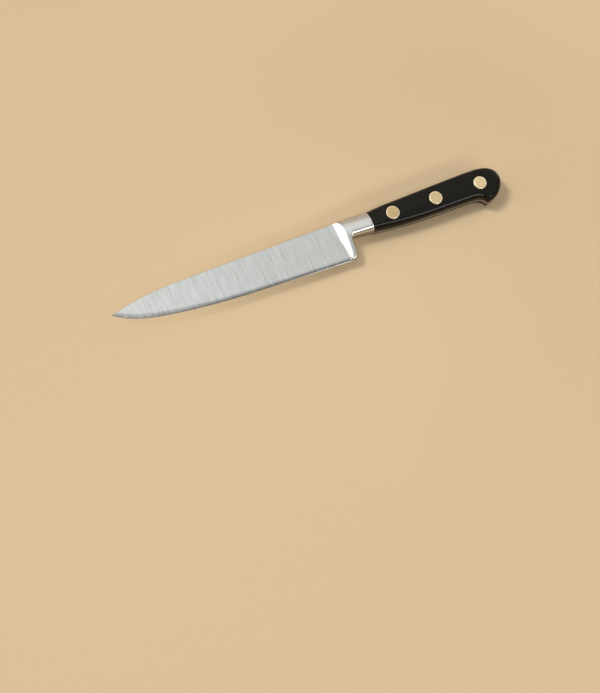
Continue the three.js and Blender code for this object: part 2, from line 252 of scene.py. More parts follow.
GUARD_BACK = 4.2  # behind the heel
HEEL_CORNER_RADIUS, NOTCH_RADIUS = 3.6, 2.6
NECK_DEPTH = 5.4  # underside of the neck, behind the notch
JOINT_BREAK = 0.5  # width of the broken edge at the scales
TOE_LEAD = 1.0  # the outline starts this far in front of the heel
TOE_POINTS, CORNER_POINTS, WALL_POINTS, NOTCH_POINTS = 6, 26, 22, 24
NECK_ROWS, JOINT_ROWS = 24, 8
GUARD_BACK_X = BLADE_LENGTH + GUARD_BACK
TOP_Y, TOE_Y = SPINE_HEIGHT, -HEEL_DEPTH

corner_centre = np.array([GUARD_BACK_X - HEEL_CORNER_RADIUS, TOE_Y + HEEL_CORNER_RADIUS])
notch_centre = np.array([GUARD_BACK_X + NOTCH_RADIUS, -NECK_DEPTH - NOTCH_RADIUS])
toe_edge = line((BLADE_LENGTH - TOE_LEAD, TOE_Y), (corner_centre[0], TOE_Y), TOE_POINTS)[:-1]
heel_corner = arc(corner_centre, HEEL_CORNER_RADIUS, -90, 0, CORNER_POINTS)
guard_wall = line((GUARD_BACK_X, corner_centre[1]), (GUARD_BACK_X, notch_centre[1]), WALL_POINTS)[1:]
notch = arc(notch_centre, NOTCH_RADIUS, 180, 90, NOTCH_POINTS)[1:]
joint_start = 1 - JOINT_BREAK / (NECK_END_X - notch_centre[0])
joint_turn = np.sin(np.linspace(0, np.pi / 2, JOINT_ROWS))[1:]
neck_shares = np.concatenate([np.linspace(0, joint_start, NECK_ROWS)[1:], lerp(joint_start, 1, joint_turn)])
neck_start, neck_end = np.array([notch_centre[0], -NECK_DEPTH]), np.array([NECK_END_X, -FRONT_DEPTH])
neck_underside = lerp(neck_start, neck_end, neck_shares[:, None])
guard_outline = np.concatenate([toe_edge, heel_corner, guard_wall, notch, neck_underside])
print(f"guard and neck outline: {len(guard_outline)} points")

# %% [markdown]
# The forging's side is a height field: at each place of the outline it has a half thickness. Booleans
# and bevels could carve it too, but they leave uneven faces where the ramp fades into the blade. With
# formulas, each surface has its own rule, and the lowest one is what is left of the steel.
# The blade is a slim wedge with a honed bevel, and it thins out in the last millimetres of the point.

# %% Half thickness of the blade
SPINE_THICKNESS, POINT_THICKNESS = 2.4, 0.9  # of the spine, at the heel and near the point
BEVEL_AT_HEEL, BEVEL_AT_POINT = 1.0, 1.7  # height of the honed strip
BEVEL_SHARE = 0.4  # the most that it takes of the blade's height
BEVEL_THICKNESS = 0.8  # of the blade, where the strip begins
MICRO_HEIGHT, MICRO_SHARE = 0.17, 0.4  # of the second bevel, and the most that it takes of the strip
MICRO_THICKNESS, EDGE_THICKNESS = 0.32, 0.12
SPINE_BREAK, SPINE_BREAK_SHARE = 0.25, 0.5  # rounded corner, at most this share of the half
CIRCLE_POWER = 2


def turned_edge(distance, width, drop, power):
    """How much a face drops towards its outline: zero from width inwards, drop at the outline."""
    near = np.clip(1 - distance / width, 0, 1)
    return drop * (1 - np.sqrt(1 - near ** power))


def full_bevel(x):
    """Height of the honed strip where the blade is high enough for it: it widens towards the point."""
    return lerp(BEVEL_AT_POINT, BEVEL_AT_HEEL, np.clip(x / BLADE_LENGTH, 0, 1))


def bevel_height(x):
    """Height of the honed strip, which never takes most of the blade."""
    return np.minimum(full_bevel(x), BEVEL_SHARE * (spine_y(x) - edge_y(x)))


def blade_half(x, y):
    """Wedge from spine to bevel, then the bevel, and a narrow one at the edge; the point thins out."""
    height = spine_y(x) - edge_y(x)
    bevel = bevel_height(x)
    up = y - edge_y(x)
    thick = bevel / full_bevel(x)
    spine = lerp(POINT_THICKNESS, SPINE_THICKNESS, np.clip(x / BLADE_LENGTH, 0, 1))
    spine_half = lerp(MICRO_THICKNESS, spine, thick) / 2
    bevel_half = lerp(MICRO_THICKNESS, BEVEL_THICKNESS, thick) / 2
    wedge = lerp(bevel_half, spine_half, (up - bevel) / (height - bevel))
    micro = np.minimum(MICRO_HEIGHT, MICRO_SHARE * bevel)
    keen = lerp(EDGE_THICKNESS / 2, MICRO_THICKNESS / 2, up / micro)
    honed = lerp(MICRO_THICKNESS / 2, bevel_half, (up - micro) / (bevel - micro))
    broken = np.minimum(SPINE_BREAK, SPINE_BREAK_SHARE * spine_half)
    rounded = turned_edge(spine_y(x) - y, SPINE_BREAK, broken, CIRCLE_POWER)
    return np.where(up < bevel, np.minimum(honed, keen), wedge) - rounded


print(f"blade {2 * blade_half(BLADE_LENGTH / 2, 0.0):.2f} mm thick at its middle")

# %% [markdown]
# Guard and neck share one face, full at the neck and thinning towards the heel. Its edges turn over
# with a power curve, which is crisper than a circle. The turn is narrow round the guard and wide along
# the neck: that is the bright line seen under the neck.

# %% Half thickness of guard and neck
RIDGE_SETBACK = 1.4  # of the ridge, behind the heel
RIDGE_X = BLADE_LENGTH + RIDGE_SETBACK
GUARD_TOE = 1.5  # half thickness at the heel
GUARD_FULL_DEPTH = 3.0  # the guard's face is full from here up
NECK_DRAFT = 1.9  # each side is thinner by this at the ridge than at the scales
NECK_LIFT, NECK_LIFT_LEAD, NECK_LIFT_RUN = 3.0, 1.0, 5.0  # makes the face full all over the neck
NECK_TOP_WIDTH, NECK_TOP_HALF, NECK_TOP_POWER = 8.0, 1.5, 1.6
GUARD_EDGE, GUARD_EDGE_DROP, GUARD_SHARE = 1.1, 1.3, 0.66  # turned edge: width, drop, most of the face
NECK_EDGE, NECK_EDGE_DROP, NECK_SHARE = 3.6, 5.25, 0.75
EDGE_POWER = 1.75
FACE_BLUR = 0.35
JOINT_DROP = 0.15
OUTLINE_SAMPLES = 1200


def smooth(value):
    """Smooth step of a share that is first held between 0 and 1."""
    held = np.clip(value, 0, 1)
    return held * held * (3 - 2 * held)


def round_notch(x, y):
    """Zero on the guard and one on the neck, changing with the direction seen from the notch."""
    angle = np.arctan2(y - notch_centre[1], notch_centre[0] - x)
    return smooth(angle / (np.pi / 2))


def soft_min(a, b, blur):
    """The smaller of two surfaces, with their meeting line rounded over a length of blur."""
    return -blur * np.logaddexp(-a / blur, -b / blur)


def neck_half(x):
    """Half thickness of the neck: it drafts down a little from the scales to the ridge."""
    return HALF_HANDLE - NECK_DRAFT * np.clip((NECK_END_X - x) / (NECK_END_X - RIDGE_X), 0, 1)


def neck_top(x, y):
    """How much the upper edge of the neck has turned over."""
    return turned_edge(TOP_Y - y, NECK_TOP_WIDTH, neck_half(x) - NECK_TOP_HALF, NECK_TOP_POWER)


def bolster_face(x, y):
    """Half thickness of guard and neck before their edges turn over: full above, thin at the heel."""
    full = neck_half(x)
    slope = (full - GUARD_TOE) / (HEEL_DEPTH - GUARD_FULL_DEPTH)
    lift = NECK_LIFT * smooth((x - GUARD_BACK_X + NECK_LIFT_LEAD) / NECK_LIFT_RUN)
    return soft_min(GUARD_TOE + slope * (y + HEEL_DEPTH) + lift, full, FACE_BLUR)


def evenly(points, count):
    """The same polyline, sampled at count points that are equally far apart."""
    steps = np.concatenate([[0], np.cumsum(np.linalg.norm(np.diff(points, axis=0), axis=1))])
    wanted = np.linspace(0, steps[-1], count)
    return np.stack([np.interp(wanted, steps, points[:, axis]) for axis in (0, 1)], axis=-1)


def distance_to(outline, x, y):
    """Distance of each grid point to the nearest point of an outline, row by row."""
    fine = evenly(outline, OUTLINE_SAMPLES)
    nearest = [np.min(np.hypot(row_x[:, None] - fine[:, 0], row_y[:, None] - fine[:, 1]), axis=1)
               for row_x, row_y in zip(x, y)]
    return np.stack(nearest)


def bolster_half(x, y):
    """Face of guard and neck, less what its upper edge, its lower edge and the joint turn over."""
    face, on_neck = bolster_face(x, y), round_notch(x, y)
    reach = distance_to(guard_outline, x, y)
    most = lerp(GUARD_SHARE, NECK_SHARE, on_neck) * face
    drop = np.minimum(lerp(GUARD_EDGE_DROP, NECK_EDGE_DROP, on_neck), most)
    lower = turned_edge(reach, lerp(GUARD_EDGE, NECK_EDGE, on_neck), drop, EDGE_POWER)
    joint = JOINT_DROP * np.clip(1 - (NECK_END_X - x) / JOINT_BREAK, 0, 1)
    return face - neck_top(x, y) - lower - joint


print(f"neck {2 * neck_half(RIDGE_X):.1f} mm thick at the ridge, {2 * neck_half(NECK_END_X):.1f} mm behind")

# %% [markdown]
# The ramp is the polished slope between blade and guard. It climbs out of the blade's side, softly at
# first, and ends in a crisp ridge where it meets the rounded face of guard and neck. That meeting line
# is solved from the two heights, so the ridge bows as the ground steel does.

# %% The ramp and its ridge
RAMP_LEAD = 2.9  # of the ramp's foot, in front of the heel
RAMP_LEAN = 0.085  # the foot runs back by this share of the way down
RAMP_SOFTNESS = 0.1
RIDGE_TOE_SWEEP, RIDGE_TOE_Y = 1.4, -12.0  # the ridge swings forward by this, below this height


def ramp_start_x(y):
    """Foot of the ramp: in front of the heel at the spine, leaning back on the way down."""
    return BLADE_LENGTH - RAMP_LEAD + RAMP_LEAN * (TOP_Y - y)


def ramp_end_x(y):
    """Where the ramp would reach full height: upright, swinging forward at the heel as a square."""
    toe = np.clip((RIDGE_TOE_Y - y) / (HEEL_DEPTH + RIDGE_TOE_Y), 0, None) ** 2
    return RIDGE_X - RIDGE_TOE_SWEEP * toe


def ramp_rise(share):
    """The ramp's height at a share of its run: a straight slope with a soft foot."""
    return RAMP_SOFTNESS * np.logaddexp(0, share / RAMP_SOFTNESS)


def ridge_x(y):
    """The ridge is where the ramp meets the rounded neck, so it swings forward over the top."""
    start, end = ramp_start_x(y), ramp_end_x(y)
    blade, face = blade_half(start, y), bolster_face(end, y)
    height = np.clip((face - neck_top(end, y) - blade) / (face - blade), RAMP_SOFTNESS, 1)
    return lerp(start, end, RAMP_SOFTNESS * np.log(np.expm1(height / RAMP_SOFTNESS)))


def forging_half(x, y):
    """Blade, then the ramp's slope with its soft foot up to the ridge, then guard and neck."""
    start, end = ramp_start_x(y), ramp_end_x(y)
    blade, face = blade_half(x, y), bolster_face(x, y)
    ramp = blade + (face - blade) * ramp_rise((x - start) / (end - start))
    return np.where(x <= start, ramp, np.minimum(ramp, bolster_half(x, y)))


ends_y = np.array([TOP_Y, TOE_Y])
start_top, start_toe = ramp_start_x(ends_y)
ridge_top, ridge_toe = ridge_x(ends_y)
print(f"ramp {ridge_top - start_top:.1f} mm long at the spine, {ridge_toe - start_toe:.1f} mm at the heel")

# %% [markdown]
# The grid of the forging has one row per station. A station is a line across the side view, from a
# point on the spine to its partner on the lower outline: upright on blade and neck, fanned out round
# the guard. On the ramp the stations bow more and more until one lies exactly on the ridge, which
# keeps the ridge crisp without any extra edge loop.

# %% Stations along the forging
BLADE_STATIONS, LEAD_STATIONS, RAMP_STATIONS = 150, 12, 36
POINT_CROWDING = 1.4
RAMP_ZONE = 6.0  # the stations stand closer together from here to the heel
TOE_LINE_POINTS = 5
RAMP_ZONE_X = BLADE_LENGTH - RAMP_ZONE
FAN_TOP_X = notch_centre[0]


def shares(count):
    """Even steps above 0 and up to 1."""
    return np.linspace(0, 1, count + 1)[1:]


def upright_x(start, ridge):
    """Places of the upright stations on the spine or the edge: along the blade, to the ramp, up it."""
    along = RAMP_ZONE_X * np.linspace(0, 1, BLADE_STATIONS) ** POINT_CROWDING
    lead = lerp(RAMP_ZONE_X, start, shares(LEAD_STATIONS))
    return np.concatenate([along, lead, lerp(start, ridge, shares(RAMP_STATIONS))])


upright_top, upright_low = upright_x(start_top, ridge_top), upright_x(start_toe, ridge_toe)
upright_upper = np.stack([upright_top, spine_y(upright_top)], axis=-1)
upright_lower = np.stack([upright_low, edge_y(upright_low)], axis=-1)
bow_share = np.concatenate([np.zeros(BLADE_STATIONS + LEAD_STATIONS), shares(RAMP_STATIONS)])
toe_line = line((ridge_toe, TOE_Y), (corner_centre[0], TOE_Y), TOE_LINE_POINTS)[1:-1]
fan_lower = np.concatenate([toe_line, heel_corner, guard_wall, notch])
neck_top_x = lerp(FAN_TOP_X, NECK_END_X, neck_shares)
neck_upper = np.stack([neck_top_x, spine_y(neck_top_x)], axis=-1)
print(f"{len(upright_upper) + len(fan_lower) + len(neck_upper)} stations from the point to the scales")

# %% [markdown]
# Along a station the points crowd towards both ends, where the edges turn over. Behind the ridge the
# stations first run down between the ridge and the guard's turned edge, and then cross that edge
# squarely, so that the edge's highlight runs along the mesh and not across it.

# %% Points across the stations
TOP_STEPS, FACE_STEPS, LOW_STEPS = 16, 30, 14
TOP_SHARE, LOW_SHARE = 0.3, 0.4  # the most that the crowded ends take of a station


def crowd(count):
    """Shares from 0 to 1 that crowd towards 0, as the cosine does."""
    return 1 - np.cos(np.linspace(0, np.pi / 2, count + 1))


def between(count):
    """Even steps between 0 and 1, without both ends."""
    return np.linspace(0, 1, count + 1)[1:-1]


def across(upper, lower, top_band, low_band):
    """Points from upper to lower line: a band at each end with crowded points, even steps between."""
    length = np.linalg.norm(lower - upper, axis=1)[:, None]
    top = np.minimum(top_band[:, None], TOP_SHARE * length)
    low = np.minimum(low_band[:, None], LOW_SHARE * length)
    top_part = top * crowd(TOP_STEPS)[None, :]
    low_part = length - low * crowd(LOW_STEPS)[None, ::-1]
    middle = lerp(top, length - low, between(FACE_STEPS)[None, :])
    share = np.concatenate([top_part, middle, low_part], axis=1) / length
    return lerp(upper[:, None, :], lower[:, None, :], share[:, :, None])


def bow(share):
    """How far the ridge stands off the straight line between its ends, at a share of the way down."""
    return ridge_x(lerp(TOP_Y, TOE_Y, share)) - lerp(ridge_top, ridge_toe, share)


def inward(points):
    """Unit directions to the left of a line's run, which is where the guard's material lies."""
    run = np.gradient(points, axis=0)
    left = np.stack([-run[:, 1], run[:, 0]], axis=-1)
    return left / np.linalg.norm(left, axis=1, keepdims=True)


def fan_points():
    """Stations behind the ridge: evenly spread between ridge and turned edge, then square across it."""
    toe = len(toe_line)
    order = shares(len(fan_lower))
    # Inner line of the turned edge; in front of the corner it runs level to the ridge
    width = lerp(GUARD_EDGE, NECK_EDGE, round_notch(*fan_lower.T))
    inner = fan_lower + inward(fan_lower) * width[:, None]
    inner[:toe, 1] = inner[toe, 1]
    inner[:toe, 0] = lerp(ridge_x(inner[toe, 1]), inner[toe, 0], shares(toe + 1)[:-1])
    # At each height, a station lies by its order between the ridge and that inner line
    bound_x, bound_y = np.append(inner[toe:], [[FAN_TOP_X, TOP_Y]], axis=0).T
    bound_order = np.append(order[toe:], 1)
    top = TOP_SHARE * (TOP_Y - fan_lower[:, 1:])
    down = lerp(top, TOP_Y - inner[:, 1:], between(FACE_STEPS)[None, :])
    y = TOP_Y - np.concatenate([top * crowd(TOP_STEPS), down], axis=1)
    aside = order[:, None] / np.interp(y, bound_y, bound_order)
    face = np.stack([lerp(ridge_x(y), np.interp(y, bound_y, bound_x), aside), y], axis=-1)
    over = (1 - crowd(LOW_STEPS)[::-1])[None, :, None]
    return np.concatenate([face, lerp(inner[:, None, :], fan_lower[:, None, :], over)], axis=1)


SPINE_BAND = 0.4
BAND_LEAD = 3.0  # in front of the ridge the bands widen from the blade's to the neck's
turn = smooth((upright_top - ridge_top + BAND_LEAD) / BAND_LEAD)
top_band = lerp(SPINE_BAND, NECK_TOP_WIDTH, turn)
low_band = lerp(bevel_height(upright_top), GUARD_EDGE, turn)
upright_points = across(upright_upper, upright_lower, top_band, low_band)
station_top, station_low = upright_upper[:, 1:], upright_lower[:, 1:]
down_share = (station_top - upright_points[..., 1]) / (station_top - station_low)
upright_points[..., 0] += bow_share[:, None] * bow(down_share)
wide = np.ones(len(neck_upper))
neck_points = across(neck_upper, neck_underside, NECK_TOP_WIDTH * wide, NECK_EDGE * wide)
front_points = np.concatenate([upright_points, fan_points(), neck_points])
front_half = forging_half(front_points[..., 0], front_points[..., 1])
print(f"thickest place {2 * front_half.max():.1f} mm, thinnest {2 * front_half.min():.2f} mm")

# %% [markdown]
# The tang fills the handle's outline between the scales. Round each station a closed loop runs down the
# upper side, across the lower wall, back up the lower side and across the spine. Blade, neck and tang
# are then one grid with one skin, as the forging is one piece of steel.

# %% The forging as a piece
TANG_STATIONS = 150
TANG_PARTS = (0.66, 0.17, 0.17)  # shares of the stations under belly, throat and rear of the beak
WALL_STEPS = 4


def loop(points, half):
    """Closed loop round each station: upper face, lower wall, lower face, spine wall."""
    side = np.concatenate([points, half[:, :, None]], axis=-1)
    under = side[:, ::-1] * np.array([1, 1, -1])
    wall = between(WALL_STEPS)[None, :, None]
    low_wall = lerp(side[:, -1:], under[:, :1], wall)
    top_wall = lerp(under[:, -1:], side[:, :1], wall)
    return np.concatenate([side, low_wall, under, top_wall], axis=1)


tang_low = np.concatenate([evenly(curve[::-1], int(TANG_STATIONS * part) + 1)[:-1]
                           for curve, part in zip((belly_curve, throat_curve, rear_curve), TANG_PARTS)])
tang_top = evenly(np.concatenate([top_curve, butt_curve[1:]]), len(tang_low) + 1)[:-1]
tang_band = np.full(len(tang_top), SPINE_BAND)
tang_points = across(tang_top, tang_low, tang_band, tang_band)
tang_points[0, :, 0] += SEAT_GAP / 2  # a step in front of the tang keeps the neck's rear wall whole
tang_half = np.full(tang_points.shape[:2], HALF_TANG - SEAT_GAP)
forging_grid = np.concatenate([loop(front_points, front_half), loop(tang_points, tang_half)])
forging = grid_piece("forged_blade", forging_grid, closed=True, caps=end_caps)
print(f"forging grid {forging_grid.shape[0]} by {forging_grid.shape[1]}")

# %% [markdown]
# A scale is a slab with the handle's outline, a slightly domed face and turned edges. Its grid runs
# once round the outline, from the front top over the butt and the beak to the front bottom. A bevelled
# extrusion would smear the beak's corner, so each row runs to its own point of a middle line.

# %% Outline of a scale, with its middle line
UPRIGHT_ROWS, FAN_ROWS = 110, 70
JOINT_FADE = 11.0  # the neck's shape goes over into the grip's along this
MIDDLE_DROP = 1.9  # of the middle line, at the joint
MITRE_LEAN, MITRE_RUN = 1.0, 9.0  # the middle line leans back by this, along this, at the beak
BEAK_X = BUTT_X - BEAK_SETBACK


def scale_outline():
    """Outline points, and the point of the middle line that each one runs to."""
    upper = np.concatenate([top_curve, butt_curve[1:]])
    lower = np.concatenate([belly_curve[::-1], throat_curve[-2::-1]])
    x = np.linspace(SCALE_FRONT_X, BEAK_X, UPRIGHT_ROWS)
    top = np.stack([x, np.interp(x, upper[:, 0], upper[:, 1])], axis=-1)
    low = np.stack([x, np.interp(x, lower[:, 0], lower[:, 1])], axis=-1)
    round_butt = np.concatenate([top[-1:], butt_curve[butt_curve[:, 0] > BEAK_X], rear_curve[1:]])
    fan = evenly(round_butt, FAN_ROWS)[1:-1]
    lean = MITRE_LEAN * smooth((x - BEAK_X + MITRE_RUN) / MITRE_RUN)
    sag = MIDDLE_DROP * (1 - smooth((x - SCALE_FRONT_X) / JOINT_FADE))
    middle = np.stack([x + lean, -sag], axis=-1)
    inner = np.concatenate([middle, np.repeat(middle[-1:], len(fan), axis=0), middle[::-1]])
    return np.concatenate([top, fan, low[::-1]]), inner


outline, middle_line = scale_outline()
print(f"scale outline: {len(outline)} rows")

# %% [markdown]
# Across, a row starts on the middle line, crosses the face, turns over the edge, drops down the side
# and comes back under the slab. The insets are square to the outline, so the beak keeps its mitred
# corner. At the joint the turned edges are the neck's own, and they fade into the grip's.

# %% Scales
FACE_COLUMNS, TURN_COLUMNS, SIDE_COLUMNS = 10, 14, 3
UNDER_SHARES = np.array([0.5, 1.0])
TOP_WIDTH, TOP_DROP = 2.3, 3.2  # turned edge along the top
REAR_WIDTH, REAR_DROP = 3.6, 3.3  # turned edge along the belly, from the neck's over BELLY_FADE
BELLY_FADE = 45.0
CROWN_DROP, CROWN_REACH = 0.7, 7.0  # the face drops by this at this distance from its middle


def inset_steps(outline, inner):
    """Step from the outline towards the middle line that moves a point 1 mm in, square to the outline."""
    edges = np.diff(outline, axis=0)
    edges = edges / np.linalg.norm(edges, axis=1, keepdims=True)
    tangent = (np.concatenate([edges[:1], edges]) + np.concatenate([edges, edges[-1:]])) / 2
    normal = np.stack([tangent[:, 1], -tangent[:, 0]], axis=-1)
    towards = inner - outline
    depth = np.sum(towards * normal, axis=1, keepdims=True)
    return towards / depth * np.sum(tangent ** 2, axis=1, keepdims=True)


def crown(y):
    """How much the slightly domed face has dropped at a distance from its middle line."""
    return 2 * CROWN_DROP * y ** 2 / (y ** 2 + CROWN_REACH ** 2)


def turned_part():
    """Places and drop of the turned edge, row by row, from its inner line to the outline."""
    from_joint = smooth((outline[:, 0] - SCALE_FRONT_X) / JOINT_FADE)
    along_belly = smooth((outline[:, 0] - SCALE_FRONT_X) / BELLY_FADE)
    on_top = smooth((UPRIGHT_ROWS + FAN_ROWS - np.arange(len(outline))) / FAN_ROWS)
    top_width = lerp(NECK_TOP_WIDTH, TOP_WIDTH, from_joint)
    top_drop = lerp(HALF_HANDLE - NECK_TOP_HALF, TOP_DROP, from_joint)
    top_power = lerp(NECK_TOP_POWER, EDGE_POWER, from_joint)
    width = lerp(lerp(NECK_EDGE, REAR_WIDTH, along_belly), top_width, on_top)[:, None]
    drop = lerp(lerp(NECK_EDGE_DROP, REAR_DROP, along_belly), top_drop, on_top)[:, None]
    power = lerp(EDGE_POWER, top_power, on_top)[:, None]
    distance = width * crowd(TURN_COLUMNS)[None, ::-1]
    places = outline[:, None] + inset_steps(outline, middle_line)[:, None] * distance[:, :, None]
    return places, turned_edge(distance, width, drop, power)


def scale_grid(side):
    """Grid of one scale: face, turned edge, side and underside, for side 1 above or -1 below."""
    turned_xy, turned_drop = turned_part()
    face_share = np.linspace(0, 1, FACE_COLUMNS + 1)[None, :-1, None]
    face_xy = lerp(middle_line[:, None], turned_xy[:, :1], face_share)
    upper_xy = np.concatenate([face_xy, turned_xy], axis=1)
    side_xy = np.repeat(outline[:, None], SIDE_COLUMNS, axis=1)
    under_xy = lerp(outline[:, None], middle_line[:, None], UNDER_SHARES[None, :, None])
    from_joint = smooth((outline[:, 0] - SCALE_FRONT_X) / JOINT_FADE)
    dome = from_joint[:, None] * crown(upper_xy[..., 1] - middle_line[:, None, 1])
    flat = np.zeros((len(outline), FACE_COLUMNS))
    upper_z = HALF_HANDLE - np.concatenate([flat, turned_drop], axis=1) - dome
    side_z = lerp(upper_z[:, -1:], HALF_TANG, shares(SIDE_COLUMNS)[None, :])
    under_z = np.full((len(outline), len(UNDER_SHARES)), HALF_TANG)
    xy = np.concatenate([upper_xy, side_xy, under_xy], axis=1)
    z = np.concatenate([upper_z, side_z, under_z], axis=1)
    return np.concatenate([xy, side * z[:, :, None]], axis=-1)


def front_cap(rows, columns):
    """The scale's front face: down the first row of the grid and back along the last one."""
    first = np.arange(columns)
    return [np.concatenate([first, (rows - 1) * columns + first[::-1]])]


SCALE_NAMES = {1: "upper_grip", -1: "lower_grip"}
scales = {side: grid_piece(name, scale_grid(side), closed=False, caps=front_cap)
          for side, name in SCALE_NAMES.items()}
for scale in scales.values():
    print(f"{scale.name}: {len(scale.data.polygons)} faces")

# %% [markdown]
# A cutler's rivet is turned on a lathe, so each half is a profile swept once round its axis. The upper
# half has a hollow shank, the sleeve; the lower half has the pin that is pressed into it. The rim of
# each head is broken with a narrow polished chamfer.

# %% Rivet halves
TURNS = 96
FIRST_ANGLE = 0.02  # keeps the facets' corners off the lines of the other grids
HEAD_THICKNESS = 1.8
SLEEVE_RADIUS = 2.5
PIN_RADIUS, PIN_DEPTH, PIN_CLEARANCE = 1.6, 8.6, 0.05
RIM, RIM_DROP = 0.55, 0.14
RIM_TURN, RIM_SIDE = 0.35, 1.6  # shares of the rim where it turns, and of its drop at the side
FACE_RINGS = (1.2, 2.6)
RIVET_SHARP = 25  # degrees
HEAD_BASE = HALF_HANDLE - HEAD_THICKNESS
SLEEVE_FOOT = SEAT_GAP - HEAD_BASE
PIN_TIP = PIN_DEPTH - HEAD_BASE
BORE_RADIUS = PIN_RADIUS + PIN_CLEARANCE

head = [(ring, HALF_HANDLE) for ring in (*FACE_RINGS, HEAD_RADIUS - RIM)]
head += [(HEAD_RADIUS - RIM_TURN * RIM, HALF_HANDLE - RIM_TURN * RIM_DROP),
         (HEAD_RADIUS, HALF_HANDLE - RIM_SIDE * RIM_DROP), (HEAD_RADIUS, HEAD_BASE)]
sleeve_profile = head + [(SLEEVE_RADIUS, HEAD_BASE), (SLEEVE_RADIUS, SLEEVE_FOOT),
                         (BORE_RADIUS, SLEEVE_FOOT), (BORE_RADIUS, PIN_TIP + SEAT_GAP)]
pin_profile = [(r, -z) for r, z in head] + [(PIN_RADIUS, -HEAD_BASE), (PIN_RADIUS, PIN_TIP)]


def lathe(name, profile, axis_x):
    """Profile of radius and height swept once round an upright axis, shut at both ends."""
    r, z = np.asarray(profile, float).T
    angle = FIRST_ANGLE + np.linspace(0, 2 * np.pi, TURNS, endpoint=False)
    ring = np.stack([np.cos(angle), np.sin(angle)], axis=-1)
    xy = r[:, None, None] * ring[None] + np.array([axis_x, 0.0])
    height = np.repeat(z[:, None, None], TURNS, axis=1)
    return grid_piece(name, np.concatenate([xy, height], axis=-1), closed=True, caps=end_caps)


rivets = {}
for place, x in RIVET_X.items():
    rivets[f"{place}_rivet_sleeve"] = lathe(f"{place}_rivet_upper", sleeve_profile, x)
    rivets[f"{place}_rivet_pin"] = lathe(f"{place}_rivet_lower", pin_profile, x)
for rivet in rivets.values():
    smooth_by_angle(rivet, RIVET_SHARP)
print(f"{len(rivets)} rivet halves")

# %% [markdown]
# The rivets sit in stepped holes. Each hole is a lathe shape of its own, cut out with a Boolean that
# is applied at once. The cutters are then removed, so only finished pieces stay in the file.

# %% Holes for the rivets
HOLE_GAP = 0.1  # round a rivet's head
MOUTH_BREAK = 0.12
HOLE_OVER = 1.0  # a cutter reaches this far past the faces it cuts
CORE_RADIUS = 1.0  # of the flat face that shuts a cutter's end
SCALE_SHARP, STEEL_SHARP = 24, 28  # degrees
SHANK_RADIUS = SLEEVE_RADIUS + PIN_CLEARANCE


def head_hole(side):
    """A counterbore for the head with a slightly broken mouth, then a hole through for the sleeve."""
    radius, over, foot = HEAD_RADIUS + HOLE_GAP, HALF_HANDLE + HOLE_OVER, HALF_TANG - HOLE_OVER
    seat = HEAD_BASE - SEAT_GAP
    mouth = [(CORE_RADIUS, over), (radius + MOUTH_BREAK + HOLE_OVER, over),
             (radius + MOUTH_BREAK, HALF_HANDLE), (radius, HALF_HANDLE - MOUTH_BREAK)]
    shank = [(radius, seat), (SHANK_RADIUS, seat), (SHANK_RADIUS, foot), (CORE_RADIUS, foot)]
    return [(r, side * z) for r, z in mouth + shank]


def shank_hole():
    """A plain hole through the tang for the sleeve."""
    over = HALF_TANG + HOLE_OVER
    return [(CORE_RADIUS, over), (SHANK_RADIUS, over), (SHANK_RADIUS, -over), (CORE_RADIUS, -over)]


def cut_holes(piece, profile):
    """Cut a hole of this profile out of the piece at each rivet, and keep the result as its mesh."""
    for x in RIVET_X.values():
        cutter = lathe("cutter", profile, x)
        modifier = piece.modifiers.new("hole", "BOOLEAN")
        modifier.operation, modifier.solver, modifier.object = "DIFFERENCE", "EXACT", cutter
        depsgraph = bpy.context.evaluated_depsgraph_get()
        result = bpy.data.meshes.new_from_object(piece.evaluated_get(depsgraph))
        piece.modifiers.clear()
        piece.data = result
        bpy.data.objects.remove(cutter)


for side, scale in scales.items():
    cut_holes(scale, head_hole(side))
    smooth_by_angle(scale, SCALE_SHARP)
cut_holes(forging, shank_hole())
smooth_by_angle(forging, STEEL_SHARP)
for piece in (forging, *scales.values()):
    print(f"{piece.name}: {len(piece.data.polygons)} faces after the holes")

# %% [markdown]
# Finishes are node trees. Noise stretched along one axis gives brushing lines, and the same lines
# drive colour, roughness and a very fine bump, so that they hold together at any distance. Pictures
# could do that too, but noise has no seams. All of it reads the object's own coordinates, in metres,
# so a scale of 500 means features of 2 mm.

# %% Node helpers
NOISE_LOW, NOISE_HIGH = 0.3, 0.7  # where most of a noise's values lie


def add(tree, kind, inputs=None, **settings):
    """Add a shader node; inputs may be values or the sockets that feed them."""
    node = tree.nodes.new("ShaderNode" + kind)
    for name, value in settings.items():
        setattr(node, name, value)
    for socket, value in (inputs or {}).items():
        if isinstance(value, bpy.types.NodeSocket):
            tree.links.new(value, node.inputs[socket])
        else:
            node.inputs[socket].default_value = value
    return node


def noise(tree, scale, detail=3.0, roughness=0.55, turn=(0, 0, 0)):
    """Noise over the object's coordinates, turned and then stretched by the scale on each axis."""
    place = add(tree, "TexCoord").outputs["Object"]
    turned = add(tree, "Mapping", {"Vector": place, "Rotation": turn}).outputs["Vector"]
    stretched = add(tree, "Mapping", {"Vector": turned, "Scale": scale}).outputs["Vector"]
    settings = {"Vector": stretched, "Scale": 1.0, "Detail": detail, "Roughness": roughness}
    return add(tree, "TexNoise", settings).outputs[0]


def product(tree, first, second):
    """One value times another."""
    return add(tree, "Math", {0: first, 1: second}, operation="MULTIPLY").outputs[0]


def blend(tree, first, second, share):
    """Weighted sum of two values: share of the second, the rest of the first."""
    weighted = product(tree, second, share)
    return add(tree, "Math", {0: first, 1: 1 - share, 2: weighted}, operation="MULTIPLY_ADD").outputs[0]


def spread(tree, value, low, high, start=NOISE_LOW, end=NOISE_HIGH):
    """Map a value from its range between start and end to low and high, and hold it there."""
    settings = {"Value": value, "From Min": start, "From Max": end, "To Min": low, "To Max": high}
    return add(tree, "MapRange", settings).outputs[0]


